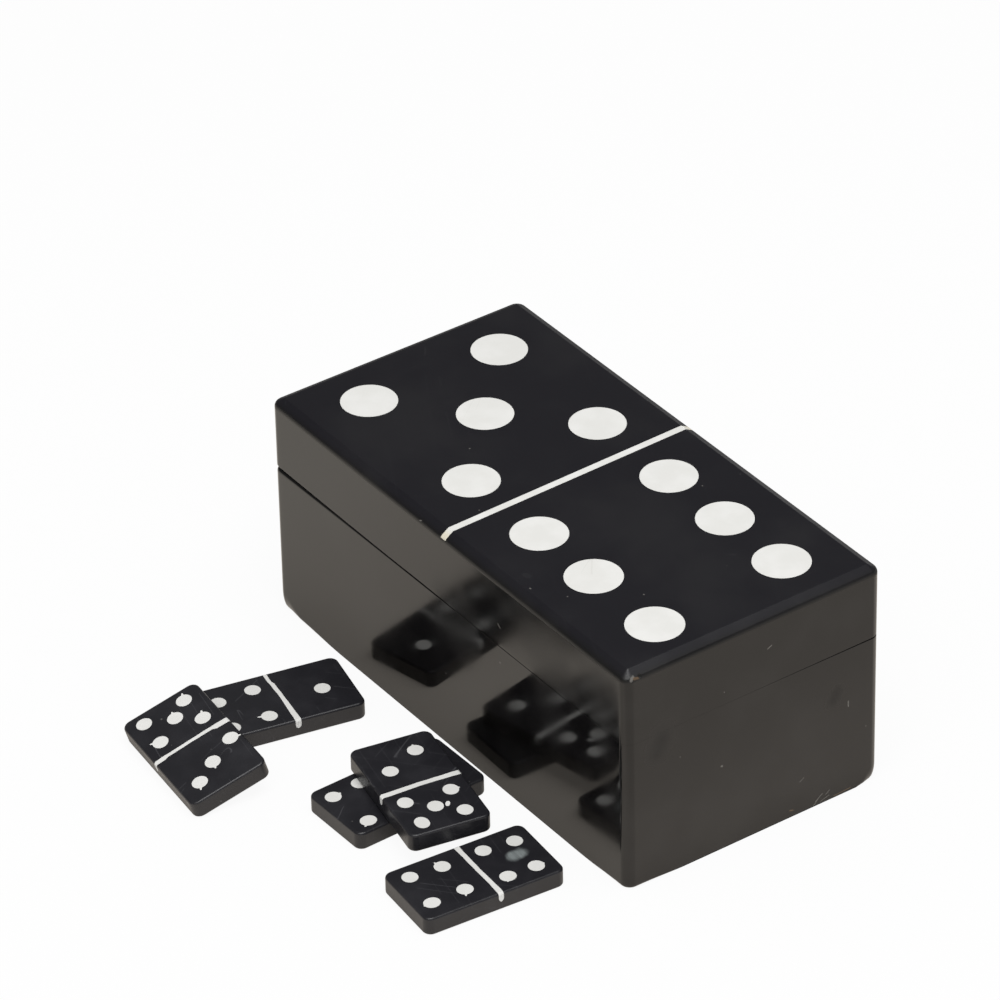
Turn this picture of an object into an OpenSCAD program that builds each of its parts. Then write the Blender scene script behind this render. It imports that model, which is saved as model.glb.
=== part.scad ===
// Domino storage box: a black resin-clad box shaped like a giant domino, with a lift-off lid that
// carries inlaid pips and a dividing bar, and the double-six set of tiles that it holds.
//
// Frame: millimetres, +Z up. The origin is the centre of the box's underside, +X runs along the
// box towards the six-pip half, and -Y is the long side where five tiles lie on the table.

/* [Box] */
// Length of the box
box_l = 160; // [158:0.5:200]
// Width of the box
box_w = 82; // [79:0.5:100]
// Height of the lower box, up to the seam
base_h = 46; // [36:0.5:60]
// Height of the lid, from the seam to its top
lid_h = 22; // [20:0.5:32]
// Radius of the upright corners
corner_r = 3; // [3:0.1:5]
// Radius of the edge round the underside
foot_r = 1.5; // [0.8:0.1:2.9]
// Radius of the lower box's outer edge at the seam
rim_r = 0.9; // [0.3:0.1:1.2]
// Radius of the lid's outer edge at the seam
lid_edge_r = 0.4; // [0.2:0.1:1.2]

/* [Walls] */
// Thickness of the resin cladding on the sides
cladding_t = 2.4; // [1.6:0.1:3]
// Thickness of the fibreboard walls of the lower box
core_t = 4; // [3:0.1:4.5]
// Thickness of the fibreboard floor
floor_t = 3; // [2:0.1:4]
// Thickness of the fibreboard panel in the lid
lid_panel_t = 4; // [2.5:0.1:5]
// Depth of the step that a panel sits in
step_d = 1.5; // [0.8:0.1:2]
// Thickness of the felt under the box
felt_t = 1.2; // [0.6:0.1:2]
// Distance of the felt from the cladding
felt_inset = 0.2; // [0.1:0.1:0.3]
// Thickness of the velvet in the box and in the lid
velvet_t = 0.8; // [0.4:0.1:1.5]
// Distance of the velvet from the walls
velvet_inset = 0.2; // [0.1:0.1:0.3]

/* [Locating strips] */
// Thickness of the strips in the lid
strip_t = 1.8; // [1.2:0.1:2.5]
// Depth that the strips reach into the lower box
strip_drop = 5; // [3:0.1:8]
// Height of the strips inside the lid
strip_rise = 10; // [6:0.1:12]
// Clearance between the strips and the lower box
strip_gap = 0.4; // [0.3:0.05:0.6]
// Chamfer on the strips' lower outer edge
strip_lead = 0.8; // [0.4:0.1:1]

/* [Lid sheet] */
// Thickness of the resin sheet on the lid
sheet_t = 3; // [2.6:0.1:4]
// Width of the chamfer round the top, measured flat
chamfer_run = 2.7; // [1:0.1:2.9]
// Height of the chamfer round the top
chamfer_drop = 2.1; // [1:0.1:2.5]
// Diameter of the pips
pip_d = 15.5; // [10:0.1:18]
// Thickness of the pips
pip_t = 2; // [1:0.1:2.4]
// Depth of the pips' tops under the sheet's face
pip_sink = 0.05; // [0.02:0.01:0.2]
// Width of the glue line round the pips and beside the bar
glue_line = 0.1; // [0.04:0.01:0.2]
// Distance of the pip rows from the middle line
pip_row = 21.2; // [15:0.1:24]
// Distance from the middle of the box to the middle of the five
five_at = 38.6; // [34:0.1:42]
// Spacing of the five's pips along the box
five_pitch = 23; // [18:0.1:25]
// Distance from the middle of the box to the middle of the six
six_at = 39.5; // [36:0.1:42]
// Spacing of the six's pips along the box
six_pitch = 24.7; // [18:0.1:25]
// Width of the dividing bar
bar_w = 2.9; // [1.5:0.1:5]
// Depth of the dividing bar
bar_d = 2; // [1:0.1:2.4]

/* [Tiles] */
// Length of a tile
tile_l = 41.4; // [36:0.1:43]
// Width of a tile
tile_w = 23.2; // [19:0.1:23.6]
// Thickness of a tile
tile_t = 5.3; // [4.5:0.1:6]
// Radius of a tile's upright corners
tile_r = 2.4; // [1.2:0.1:4]
// Radius of a tile's long edges
tile_edge_r = 0.7; // [0.3:0.1:1]
// Diameter of a tile's pips
dot_d = 4.4; // [3:0.1:5]
// Depth of a tile's inlays
dot_t = 0.9; // [0.5:0.1:1.5]
// Depth of an inlay's face under the tile's face
dot_sink = 0.04; // [0.02:0.01:0.1]
// Distance from the bar to the middle of a half
half_at = 10.6; // [9:0.1:11]
// Distance of a tile's pips from the middle of a half, along the tile
dot_along = 4.6; // [3.5:0.1:5.5]
// Distance of a tile's pips from the middle of a half, across the tile
dot_across = 6.1; // [4:0.1:7]
// Width of a tile's bar
line_w = 1.4; // [0.8:0.1:2]
// Distance that a tile's bar runs down its edges
line_fold = 2.6; // [1:0.1:3]
// Width of the glue line round a tile's inlays
dot_glue = 0.03; // [0.02:0.01:0.1]
// Gap between stored tiles
tile_gap = 0.3; // [0.1:0.1:0.6]

/* [Hidden] */
$fn = 64;
box_h = base_h + lid_h;
// A cut passes the face it opens by this much
over = 1;

// Planes of the lower box, from the table up
floor_z = felt_t;
velvet_z = floor_z + floor_t;
tiles_z = velvet_z + velvet_t;
// Planes of the lid, from the top down
sheet_z = box_h - sheet_t;
panel_z = sheet_z - lid_panel_t;

// Insides of the walls
lid_core_t = core_t + strip_gap;
hollow_l = box_l - 2 * (cladding_t + core_t);
hollow_w = box_w - 2 * (cladding_t + core_t);
lid_hollow_l = hollow_l - 2 * strip_gap;
lid_hollow_w = hollow_w - 2 * strip_gap;

// The sides of the box: name, number of quarter turns from the front
SIDES = [["front", 0], ["right", 1], ["back", 2], ["left", 3]];

// Places of a number's pips on half a domino, in steps along it and across it
function spots(n) =
    n == 1 ? [[0, 0]] :
    n == 2 ? [[-1, 1], [1, -1]] :
    n == 3 ? concat(spots(2), spots(1)) :
    n == 4 ? [for (a = [-1, 1], c = [-1, 1]) [a, c]] :
    n == 5 ? concat(spots(4), spots(1)) :
    n == 6 ? [for (a = [-1, 0, 1], c = [-1, 1]) [a, c]] : [];
// The lid's pips, five first and then six
LID_SPOTS = concat(
    [for (s = spots(5)) [s[0] * five_pitch - five_at, s[1] * pip_row]],
    [for (s = spots(6)) [s[0] * six_pitch + six_at, s[1] * pip_row]]
);
// The lid's pips are set by hand: how far each one strays along the box
PIP_STRAY = [-0.6, 0, 0.7, -1, 0.1, 0.8, -0.2, 0.1, -0.5, 1.8, -1];

// Tiles lying in front of the box, and the pips on their halves
LOOSE = ["five_three", "four_one", "four_blank", "two_five", "four_four"];
LOOSE_PIPS = [[5, 3], [4, 1], [4, 0], [2, 5], [4, 4]];
// The middle of each, along the box and in front of it. The leaning tile's is the middle of its
// lower edge.
LOOSE_AT = [[-32.6, 69.2], [-38.1, 28.1], [12.8, 25], [21.2, 23.6], [54.9, 30.3]];
LOOSE_TURN = [-6.2, 77.5, 91.2, -11.3, 85];
// The first tile leans on the end of the second, and the fourth lies flat on the third
LEANER = 0;
LEANED_ON = 1;
STACKED = 3;
function middle(i) = [LOOSE_AT[i][0], -box_w / 2 - LOOSE_AT[i][1]];

// The rest of the double-six set, stored in the box
function is_loose(a, b) = len([for (p = LOOSE_PIPS) if (p == [a, b] || p == [b, a]) p]) > 0;
STORED = [for (b = [0:6], a = [0:b]) if (!is_loose(a, b)) [a, b]];
// One layer is a row of tiles laid across the box, and as many rows laid along it as it takes
across_n = floor((hollow_l + tile_gap) / (tile_w + tile_gap));
row_n = floor((hollow_l + tile_gap) / (tile_l + tile_gap));
rows = max(0, floor((hollow_w - tile_l) / (tile_w + tile_gap)));
layer_n = across_n + rows * row_n;
LAYERS = ["bottom", "middle", "top"];
top_layer = len(LAYERS) - 1;

// ---- Solids with rolled or chamfered edges

// Upright cross-section from -half to half, with rounded lower and upper corners
module section(half, low, high, low_r, high_r) {
    translate([-half, low + low_r]) square([2 * half, high - low - low_r - high_r]);
    if (low_r > 0) {
        translate([low_r - half, low]) square([2 * (half - low_r), low_r]);
        for (s = [-1, 1]) translate([s * (half - low_r), low + low_r]) circle(low_r);
    }
    if (high_r > 0) {
        translate([high_r - half, high - high_r]) square([2 * (half - high_r), high_r]);
        for (s = [-1, 1]) translate([s * (half - high_r), high - high_r]) circle(high_r);
    }
}

// Block whose upright corners have radius r and whose rims are rolled round them
module rolled_block(l, w, r, low, high, low_r, high_r) {
    rotate([90, 0, 0])
        linear_extrude(w - 2 * r, center = true) section(l / 2, low, high, low_r, high_r);
    rotate([90, 0, 90])
        linear_extrude(l - 2 * r, center = true) section(w / 2, low, high, low_r, high_r);
    for (sx = [-1, 1], sy = [-1, 1])
        translate([sx * (l / 2 - r), sy * (w / 2 - r), 0])
            rotate_extrude()
                intersection() {
                    section(r, low, high, low_r, high_r);
                    translate([0, low - over]) square([r + over, high - low + 2 * over]);
                }
}

// Cross-section of the lid's sheet, from the middle out to its chamfered edge
function sheet_outline(half) = [
    [0, sheet_z], [half, sheet_z], [half, box_h - chamfer_drop], [half - chamfer_run, box_h], [0, box_h]
];

module sheet_blank() {
    inner_l = box_l - 2 * corner_r;
    inner_w = box_w - 2 * corner_r;
    for (m = [0, 1]) mirror([m, 0, 0])
        rotate([90, 0, 0]) linear_extrude(inner_w, center = true) polygon(sheet_outline(box_l / 2));
    for (m = [0, 1]) mirror([0, m, 0])
        rotate([90, 0, 90]) linear_extrude(inner_l, center = true) polygon(sheet_outline(box_w / 2));
    for (sx = [-1, 1], sy = [-1, 1])
        translate([sx * inner_l / 2, sy * inner_w / 2, 0])
            rotate_extrude() polygon(sheet_outline(corner_r));
}

// ---- Walls

// Turns a piece drawn for the front or for the right side to the side asked for
module on_side(turns) {
    rotate([0, 0, turns >= 2 ? 180 : 0]) children(turns % 2);
}

// Plan of the part of the box nearest to the front, or to the right, between its mitred corners
module mitre_plan(along, out, depth) {
    polygon([
        [-along - over, -out - over], [along + over, -out - over],
        [along - depth, -out + depth], [-along + depth, -out + depth]
    ]);
}

// One mitred panel of resin cladding
module cladding(turns, low, high, low_r, high_r) {
    depth = cladding_t + over;
    color("#1c1c1f")
        intersection() {
            difference() {
                rolled_block(box_l, box_w, corner_r, low, high, low_r, high_r);
                translate([cladding_t - box_l / 2, cladding_t - box_w / 2, low - over])
                    cube([box_l - 2 * cladding_t, box_w - 2 * cladding_t, high - low + 2 * over]);
            }
            on_side(turns) {
                translate([0, 0, low - over]) linear_extrude(high - low + 2 * over)
                    mitre_plan(box_l / 2, box_w / 2, depth);
                translate([0, 0, low - over]) linear_extrude(high - low + 2 * over)
                    rotate(90) mitre_plan(box_w / 2, box_l / 2, depth);
            }
        }
}

// One fibreboard wall. The long walls are stepped at their ends to take the short ones, and all
// four are stepped inside, from step_low to step_high, to take the floor or the lid's panel.
module core_wall(turns, t, low, high, step_low, step_high) {
    core_l = box_l - 2 * cladding_t;
    core_w = box_w - 2 * cladding_t;
    color("#8a6a48")
        difference() {
            on_side(turns) {
                difference() {
                    translate([-core_l / 2, -core_w / 2, low]) cube([core_l, t, high - low]);
                    for (m = [0, 1]) mirror([m, 0, 0])
                        translate([core_l / 2 - t, t / 2 - core_w / 2, low - over])
                            cube([t + over, t, high - low + 2 * over]);
                }
                translate([core_l / 2 - t, t / 2 - core_w / 2, low]) cube([t, core_w - t, high - low]);
            }
            translate([t - step_d - core_l / 2, t - step_d - core_w / 2, step_low])
                cube([core_l - 2 * (t - step_d), core_w - 2 * (t - step_d), step_high - step_low]);
        }
}

// A panel that fills the step in four walls with the given hollow between them
module stepped_panel(l, w, low, t) {
    translate([-l / 2 - step_d, -w / 2 - step_d, low]) cube([l + 2 * step_d, w + 2 * step_d, t]);
}

// ---- Lower box

module base_felt() {
    inset = cladding_t + felt_inset;
    color("#26262a")
        translate([inset - box_l / 2, inset - box_w / 2, 0])
            cube([box_l - 2 * inset, box_w - 2 * inset, felt_t]);
}

module base_floor() {
    color("#8a6a48") stepped_panel(hollow_l, hollow_w, floor_z, floor_t);
}

module base_velvet() {
    color("#1f1f26")
        translate([velvet_inset - hollow_l / 2, velvet_inset - hollow_w / 2, velvet_z])
            cube([hollow_l - 2 * velvet_inset, hollow_w - 2 * velvet_inset, velvet_t]);
}

module base_wall(turns) {
    core_wall(turns, core_t, floor_z, base_h, floor_z - over, velvet_z);
}

module base_cladding(turns) {
    cladding(turns, 0, base_h, foot_r, rim_r);
}

// ---- Lid

module lid_panel() {
    color("#8a6a48") stepped_panel(lid_hollow_l, lid_hollow_w, panel_z, lid_panel_t);
}

// The velvet ends where the locating strips begin
module lid_velvet() {
    inset = strip_t + velvet_inset;
    color("#1f1f26")
        translate([inset - lid_hollow_l / 2, inset - lid_hollow_w / 2, panel_z - velvet_t])
            cube([lid_hollow_l - 2 * inset, lid_hollow_w - 2 * inset, velvet_t]);
}

module lid_wall(turns) {
    core_wall(turns, lid_core_t, base_h, sheet_z, panel_z, sheet_z + over);
}

module lid_cladding(turns) {
    cladding(turns, base_h, sheet_z, lid_edge_r, 0);
}

// Cross-section of a locating strip: its outer face at x = 0, chamfered where it enters the box
module strip_section() {
    polygon([
        [0, strip_rise], [-strip_t, strip_rise], [-strip_t, -strip_drop],
        [-strip_lead, -strip_drop], [0, strip_lead - strip_drop]
    ]);
}

// The short strips stand between the long ones
module lid_strip(turns) {
    short_l = lid_hollow_w - 2 * strip_t;
    color("#8a6a48")
        on_side(turns) {
            translate([0, -lid_hollow_w / 2, base_h])
                rotate([90, 0, -90]) linear_extrude(lid_hollow_l, center = true) strip_section();
            translate([lid_hollow_l / 2, 0, base_h])
                rotate([90, 0, 0]) linear_extrude(short_l, center = true) strip_section();
        }
}

module pip_place(i) {
    translate([LID_SPOTS[i][0] + PIP_STRAY[i], LID_SPOTS[i][1], box_h - pip_t]) children();
}

module bar_slot(w) {
    translate([-w / 2, -box_w / 2 - over, box_h - bar_d]) cube([w, box_w + 2 * over, bar_d + over]);
}

module lid_sheet() {
    color("#1c1c1f")
        difference() {
            sheet_blank();
            bar_slot(bar_w);
            for (i = [0:len(LID_SPOTS) - 1]) pip_place(i) cylinder(h = pip_t + over, d = pip_d);
        }
}

module lid_bar() {
    color("#ecebe4")
        intersection() {
            sheet_blank();
            bar_slot(bar_w - 2 * glue_line);
        }
}

module lid_pip(i) {
    color("#ecebe4") pip_place(i) cylinder(h = pip_t - pip_sink, d = pip_d - 2 * glue_line);
}

// ---- Tiles

module tile_blank() {
    rolled_block(tile_l, tile_w, tile_r, 0, tile_t, tile_edge_r, tile_edge_r);
}

// The bar, or its groove: across the face and down both long edges
module line_slot(w) {
    difference() {
        translate([-w / 2, -tile_w / 2 - over, tile_t - line_fold])
            cube([w, tile_w + 2 * over, line_fold + over]);
        translate([-w / 2 - over, dot_t - tile_w / 2, 0])
            cube([w + 2 * over, tile_w - 2 * dot_t, tile_t - dot_t]);
    }
}

module dots(pips, h, d) {
    for (e = [0, 1], s = spots(pips[e]))
        translate([(2 * e - 1) * half_at + s[0] * dot_along, s[1] * dot_across, tile_t - dot_t])
            cylinder(h = h, d = d, $fn = 32);
}

// A tile of black resin, milled for its pips and its bar
module tile_body(pips) {
    color("#17171a")
        difference() {
            tile_blank();
            line_slot(line_w);
            dots(pips, dot_t + over, dot_d);
        }
}

// The white filling of a tile's pips and bar
module tile_inlay(pips) {
    color("#ecebe4") {
        intersection() {
            tile_blank();
            line_slot(line_w - 2 * dot_glue);
        }
        dots(pips, dot_t - dot_sink, dot_d - 2 * dot_glue);
    }
}

// Where a stored tile lies: the row laid across is at the back, the rows laid along it in front
module store_place(i) {
    level = tiles_z + floor(i / layer_n) * tile_t;
    k = i % layer_n;
    step_l = tile_l + tile_gap;
    step_w = tile_w + tile_gap;
    depth = tile_l + rows * step_w;
    if (k < across_n)
        translate([(k - (across_n - 1) / 2) * step_w, (depth - tile_l) / 2, level])
            rotate([0, 0, 90]) children();
    else {
        row = floor((k - across_n) / row_n);
        col = (k - across_n) % row_n;
        translate([(col - (row_n - 1) / 2) * step_l, (tile_w - depth) / 2 + row * step_w, level])
            children();
    }
}

// Numbers of the stored tiles in a layer. The top layer takes all that are left.
function layer_end(k) = k == top_layer ? len(STORED) : min((k + 1) * layer_n, len(STORED));
function layer(k) = [for (i = [k * layer_n : 1 : layer_end(k) - 1]) i];

module stored_tiles(k) {
    for (i = layer(k)) store_place(i) tile_body(STORED[i]);
}

module stored_inlays(k) {
    for (i = layer(k)) store_place(i) tile_inlay(STORED[i]);
}

// A point of one tile, given along and across it, in the frame of the leaning tile's lower edge
function turned(p, a) = [p[0] * cos(a) - p[1] * sin(a), p[0] * sin(a) + p[1] * cos(a)];
function tile_point(i, p) = middle(i) + turned(p, LOOSE_TURN[i]);
function from_leaner(p) = turned(p - middle(LEANER), -LOOSE_TURN[LEANER]);
// The corner of the lower tile that the leaning one rests on, at the middle of its rounding
lean_corner = from_leaner(tile_point(LEANED_ON, [tile_r - tile_l / 2, tile_r - tile_w / 2]));
lean_reach = lean_corner[1] - tile_r;
lean = atan2(tile_t, lean_reach);
// The leaning tile's rounded lower edge touches the table
lean_drop = tile_edge_r * (sin(lean) + cos(lean) - 1);

// Where a loose tile lies. One leans on its neighbour's end, and one lies flat on another.
module loose_place(i) {
    translate([middle(i)[0], middle(i)[1], 0])
        rotate([0, 0, LOOSE_TURN[i]])
            if (i == LEANER)
                translate([0, 0, -lean_drop])
                    rotate([lean, 0, 0]) translate([0, tile_w / 2, 0]) children();
            else
                translate([0, 0, i == STACKED ? tile_t : 0]) children();
}

module loose_tile(i) {
    loose_place(i) tile_body(LOOSE_PIPS[i]);
}

module loose_inlay(i) {
    loose_place(i) tile_inlay(LOOSE_PIPS[i]);
}

// ---- Assembly

base_felt();
base_floor();
base_velvet();
for (s = SIDES) base_wall(s[1]);
for (s = SIDES) base_cladding(s[1]);
lid_panel();
lid_velvet();
for (s = SIDES) lid_wall(s[1]);
for (s = SIDES) lid_cladding(s[1]);
for (s = SIDES) lid_strip(s[1]);
lid_sheet();
lid_bar();
for (i = [1:len(LID_SPOTS)]) lid_pip(i - 1);
for (k = [0:top_layer]) stored_tiles(k);
for (k = [0:top_layer]) stored_inlays(k);
for (i = [0:len(LOOSE) - 1]) loose_tile(i);
for (i = [0:len(LOOSE) - 1]) loose_inlay(i);
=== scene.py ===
import math

import bmesh
import bpy
from mathutils import Matrix, Vector, noise


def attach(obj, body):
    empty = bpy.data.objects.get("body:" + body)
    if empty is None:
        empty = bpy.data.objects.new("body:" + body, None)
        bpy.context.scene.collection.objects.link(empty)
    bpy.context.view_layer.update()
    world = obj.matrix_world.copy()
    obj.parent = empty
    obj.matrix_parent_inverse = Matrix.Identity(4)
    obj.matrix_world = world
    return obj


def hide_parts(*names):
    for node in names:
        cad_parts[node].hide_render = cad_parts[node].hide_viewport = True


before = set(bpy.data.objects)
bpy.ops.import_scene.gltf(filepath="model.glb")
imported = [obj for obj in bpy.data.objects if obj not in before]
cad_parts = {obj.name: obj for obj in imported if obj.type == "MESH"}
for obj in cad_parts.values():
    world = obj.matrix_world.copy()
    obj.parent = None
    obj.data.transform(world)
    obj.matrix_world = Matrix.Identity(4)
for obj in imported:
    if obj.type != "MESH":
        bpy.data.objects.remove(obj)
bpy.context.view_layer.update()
mm = 0.001


# ---- Carcass of the lower box and of the lid
# Four fibreboard walls, rabbeted at the corners, hold a floor in the lower box and a panel in the
# lid. Strips of the same board are glued inside the lid and locate it on the lower box. The board
# is dense brown fibre, sawn and left bare.

def node(tree, kind, inputs=None, **settings):
    """A node with its settings, and its inputs given as values or as the sockets to join."""
    made = tree.nodes.new(kind)
    for key, value in settings.items():
        setattr(made, key, value)
    for key, value in (inputs or {}).items():
        if isinstance(value, bpy.types.NodeSocket):
            tree.links.new(value, made.inputs[key])
        else:
            made.inputs[key].default_value = value
    return made


def blended(tree, factor, first, second):
    """Two colours mixed by a factor."""
    mix = node(tree, "ShaderNodeMix", data_type="RGBA")
    for key, value in ((0, factor), (6, first), (7, second)):
        if isinstance(value, bpy.types.NodeSocket):
            tree.links.new(value, mix.inputs[key])
        else:
            mix.inputs[key].default_value = value if key == 0 else (*value, 1.0)
    return mix.outputs[2]


def spread(tree, value, low, high, to_low=0.0, to_high=1.0):
    """A value stretched smoothly from one range to another."""
    return node(tree, "ShaderNodeMapRange", {0: value, 1: low, 2: high, 3: to_low, 4: to_high},
                interpolation_type="SMOOTHSTEP").outputs[0]


def new_material(name):
    """A material with one Principled shader, the piece's own coordinates and its node tree."""
    material = bpy.data.materials.new(name)
    material.use_nodes = True
    tree = material.node_tree
    shader = tree.nodes["Principled BSDF"]
    place = tree.nodes.new("ShaderNodeTexCoord").outputs["Object"]
    return material, tree, shader, place


def dress(material, *names):
    """Gives CAD nodes a material."""
    for name in names:
        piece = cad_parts[name]
        piece.data.materials.clear()
        piece.data.materials.append(material)


SIDES = ("front", "right", "back", "left")

fibreboard, tree, shader, place = new_material("bare_fibreboard")
stretched = node(tree, "ShaderNodeMapping", {0: place, 3: (260, 260, 900)}).outputs[0]
fibres = node(tree, "ShaderNodeTexNoise", {"Vector": stretched, "Scale": 1.0, "Detail": 4.0}).outputs[0]
patches = node(tree, "ShaderNodeTexNoise", {"Vector": place, "Scale": 45.0, "Detail": 2.0}).outputs[0]
board = blended(tree, spread(tree, fibres, 0.3, 0.7), (0.20, 0.115, 0.058), (0.34, 0.21, 0.115))
board = blended(tree, spread(tree, patches, 0.4, 0.75, 0.0, 0.35), board, (0.16, 0.09, 0.045))
tree.links.new(board, shader.inputs["Base Color"])
tree.links.new(spread(tree, fibres, 0.2, 0.8, 0.78, 0.92), shader.inputs["Roughness"])
bump = node(tree, "ShaderNodeBump", {"Height": fibres, "Strength": 0.5, "Distance": 0.00012})
tree.links.new(bump.outputs[0], shader.inputs["Normal"])
dress(fibreboard, "base_floor", "lid_panel",
      *[f"{part}_{side}_wall" for part in ("base", "lid") for side in SIDES],
      *[f"lid_{side}_strip" for side in SIDES])


# ---- Linings
# A pad of dark felt is glued under the lower box so that it doesn't scratch the table. The floor of
# the box and the panel of the lid are lined with black velvet, cut a little short of the walls.

felt, tree, shader, place = new_material("dark_felt")
wool = node(tree, "ShaderNodeTexNoise", {"Vector": place, "Scale": 900.0, "Detail": 6.0}).outputs[0]
tree.links.new(blended(tree, spread(tree, wool, 0.3, 0.7), (0.010, 0.010, 0.012), (0.040, 0.040, 0.045)),
               shader.inputs["Base Color"])
tree.links.new(spread(tree, wool, 0.3, 0.7, 0.88, 1.0), shader.inputs["Roughness"])
bump = node(tree, "ShaderNodeBump", {"Height": wool, "Strength": 0.8, "Distance": 0.0003})
tree.links.new(bump.outputs[0], shader.inputs["Normal"])
dress(felt, "base_felt")

velvet, tree, shader, place = new_material("black_velvet")
shader.inputs["Sheen Weight"].default_value = 0.6
shader.inputs["Sheen Roughness"].default_value = 0.35
pile = node(tree, "ShaderNodeTexNoise", {"Vector": place, "Scale": 2200.0, "Detail": 3.0}).outputs[0]
strokes = node(tree, "ShaderNodeTexNoise", {"Vector": place, "Scale": 28.0, "Detail": 3.0}).outputs[0]
nap = blended(tree, spread(tree, strokes, 0.35, 0.7), (0.006, 0.006, 0.010), (0.020, 0.020, 0.030))
tree.links.new(nap, shader.inputs["Base Color"])
tree.links.new(spread(tree, pile, 0.2, 0.8, 0.85, 1.0), shader.inputs["Roughness"])
bump = node(tree, "ShaderNodeBump", {"Height": pile, "Strength": 0.6, "Distance": 0.0002})
tree.links.new(bump.outputs[0], shader.inputs["Normal"])
dress(velvet, "base_velvet", "lid_velvet")


# ---- Cladding of the lower box
# Panels of black resin, mitred and glued round the carcass, then ground flush and polished as one
# shell, so the mitres don't show. The upright corners are rounded. The rims at the seam and the foot
# were rounded by hand and differ from place to place.

BOX_L, BOX_W, BASE_H, BOX_H = 160 * mm, 82 * mm, 46 * mm, 68 * mm
CLADDING_T, CORNER_R = 2.4 * mm, 3 * mm
FOOT_R, RIM_R = 1.5 * mm, 0.9 * mm
CORNER_STEPS, EDGE_STEPS, RING_CUTS = 10, 5, 32
SMOOTH_BELOW, FOLDED_ABOVE = math.radians(32), 0.5
TOUCH = 1e-6

# Shares of RIM_R: at the front corner, and what is added towards the far left and far right ends
RIM_SHARP, RIM_LEFT, RIM_RIGHT = 0.04, 1.3, 0.3

# Shares of FOOT_R: between the corners, and along the right end as far as RIGHT_END_TO
FOOT_SHARP, FOOT_RIGHT_END, RIGHT_END_TO = 0.07, 0.35, 25 * mm

# The foot at each upright corner: which one, how far its rounding reaches, its depth as a share of
# FOOT_R, and what is added to its height, up to RISE_REACH from the corner
RISE_REACH = 7 * mm
FOOT_CORNERS = [
    ((-1, -1), 22 * mm, 1, 2.6), ((1, -1), 14 * mm, 0.7, 0.2),
    ((1, 1), 5.5 * mm, 1, 2.2), ((-1, 1), 20 * mm, 1, 2.6),
]


def finished(name, bm, material, body, replaced):
    """The bmesh as a piece of the object, riding on its body in place of its CAD nodes."""
    bmesh.ops.recalc_face_normals(bm, faces=bm.faces)
    mesh = bpy.data.meshes.new(name)
    bm.to_mesh(mesh)
    bm.free()
    piece = bpy.data.objects.new(name, mesh)
    bpy.context.scene.collection.objects.link(piece)
    mesh.materials.append(material)
    mesh.shade_smooth()
    mesh.set_sharp_from_angle(angle=SMOOTH_BELOW)
    piece.modifiers.new("even shading", "WEIGHTED_NORMAL").keep_sharp = True
    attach(piece, body)
    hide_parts(*replaced)


def rounded_plate(length, width, radius, height):
    """A flat face with round corners, lying at a height."""
    bm = bmesh.new()
    bmesh.ops.create_grid(bm, x_segments=1, y_segments=1, size=0.5)
    bmesh.ops.scale(bm, vec=(length, width, 1), verts=bm.verts)
    bmesh.ops.bevel(bm, geom=bm.verts[:], offset=radius, affect="VERTICES", segments=CORNER_STEPS,
                    profile=0.5, material=-1)
    bmesh.ops.translate(bm, vec=(0, 0, height), verts=bm.verts)
    return bm


def raised(bm, faces, rise):
    """Draws flat faces up into closed solids."""
    drawn = bmesh.ops.extrude_face_region(bm, geom=faces, use_keep_orig=True)["geom"]
    top = [v for v in drawn if isinstance(v, bmesh.types.BMVert)]
    bmesh.ops.translate(bm, vec=(0, 0, rise), verts=top)
    bmesh.ops.recalc_face_normals(bm, faces=bm.faces)


def eased(bm, edges, radius, segments=EDGE_STEPS):
    """Rounds edges off."""
    bmesh.ops.bevel(bm, geom=edges, offset=radius, affect="EDGES", segments=segments,
                    profile=0.5, material=-1)


def level_edges(bm, height):
    """The edges that lie at a height, where a level face meets a wall."""
    return [e for e in bm.edges if e.calc_face_angle(0) > FOLDED_ABOVE
            and all(abs(v.co.z - height) < TOUCH for v in e.verts)]


def inward(p):
    """How deep a point lies inside the upright faces of the box, and the way straight out of them."""
    over_x = abs(p.x) - (BOX_L / 2 - CORNER_R)
    over_y = abs(p.y) - (BOX_W / 2 - CORNER_R)
    if over_x > 0 and over_y > 0:
        way = Vector((math.copysign(over_x, p.x), math.copysign(over_y, p.y), 0))
        return CORNER_R - way.length, way.normalized()
    if over_x > over_y:
        return CORNER_R - over_x, Vector((math.copysign(1, p.x), 0, 0))
    return CORNER_R - over_y, Vector((0, math.copysign(1, p.y), 0))


def shell(low, high, low_r, high_r):
    """One ring of cladding, round-cornered, with its outer edges eased, cut across so that it can bend."""
    bm = rounded_plate(BOX_L, BOX_W, CORNER_R, low)
    bmesh.ops.inset_region(bm, faces=bm.faces[:], thickness=CLADDING_T, use_even_offset=True,
                           use_boundary=True)
    middle = min(bm.faces, key=lambda f: f.calc_center_median().length)
    bmesh.ops.delete(bm, geom=[middle], context="FACES")
    raised(bm, bm.faces[:], high - low)
    for height, radius in ((low, low_r), (high, high_r)):
        if radius:
            rim = [e for e in level_edges(bm, height) if inward(e.verts[0].co)[0] < CLADDING_T / 2]
            eased(bm, rim, radius)
    for step in range(1 - RING_CUTS // 2, RING_CUTS // 2):
        for spot, normal in (((step * BOX_L / RING_CUTS, 0, 0), (1, 0, 0)),
                             ((0, step * BOX_W / RING_CUTS, 0), (0, 1, 0))):
            bmesh.ops.bisect_plane(bm, geom=bm.verts[:] + bm.edges[:] + bm.faces[:],
                                   plane_co=spot, plane_no=normal)
    return bm


def from_front_corner(p):
    """How far along each side a point is from the front corner, from 0 there to 1 at the far end."""
    along = min(1.0, max(0.0, 0.5 - p.x / BOX_L))
    across = min(1.0, max(0.0, 0.5 + p.y / BOX_W))
    return along, across


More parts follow.
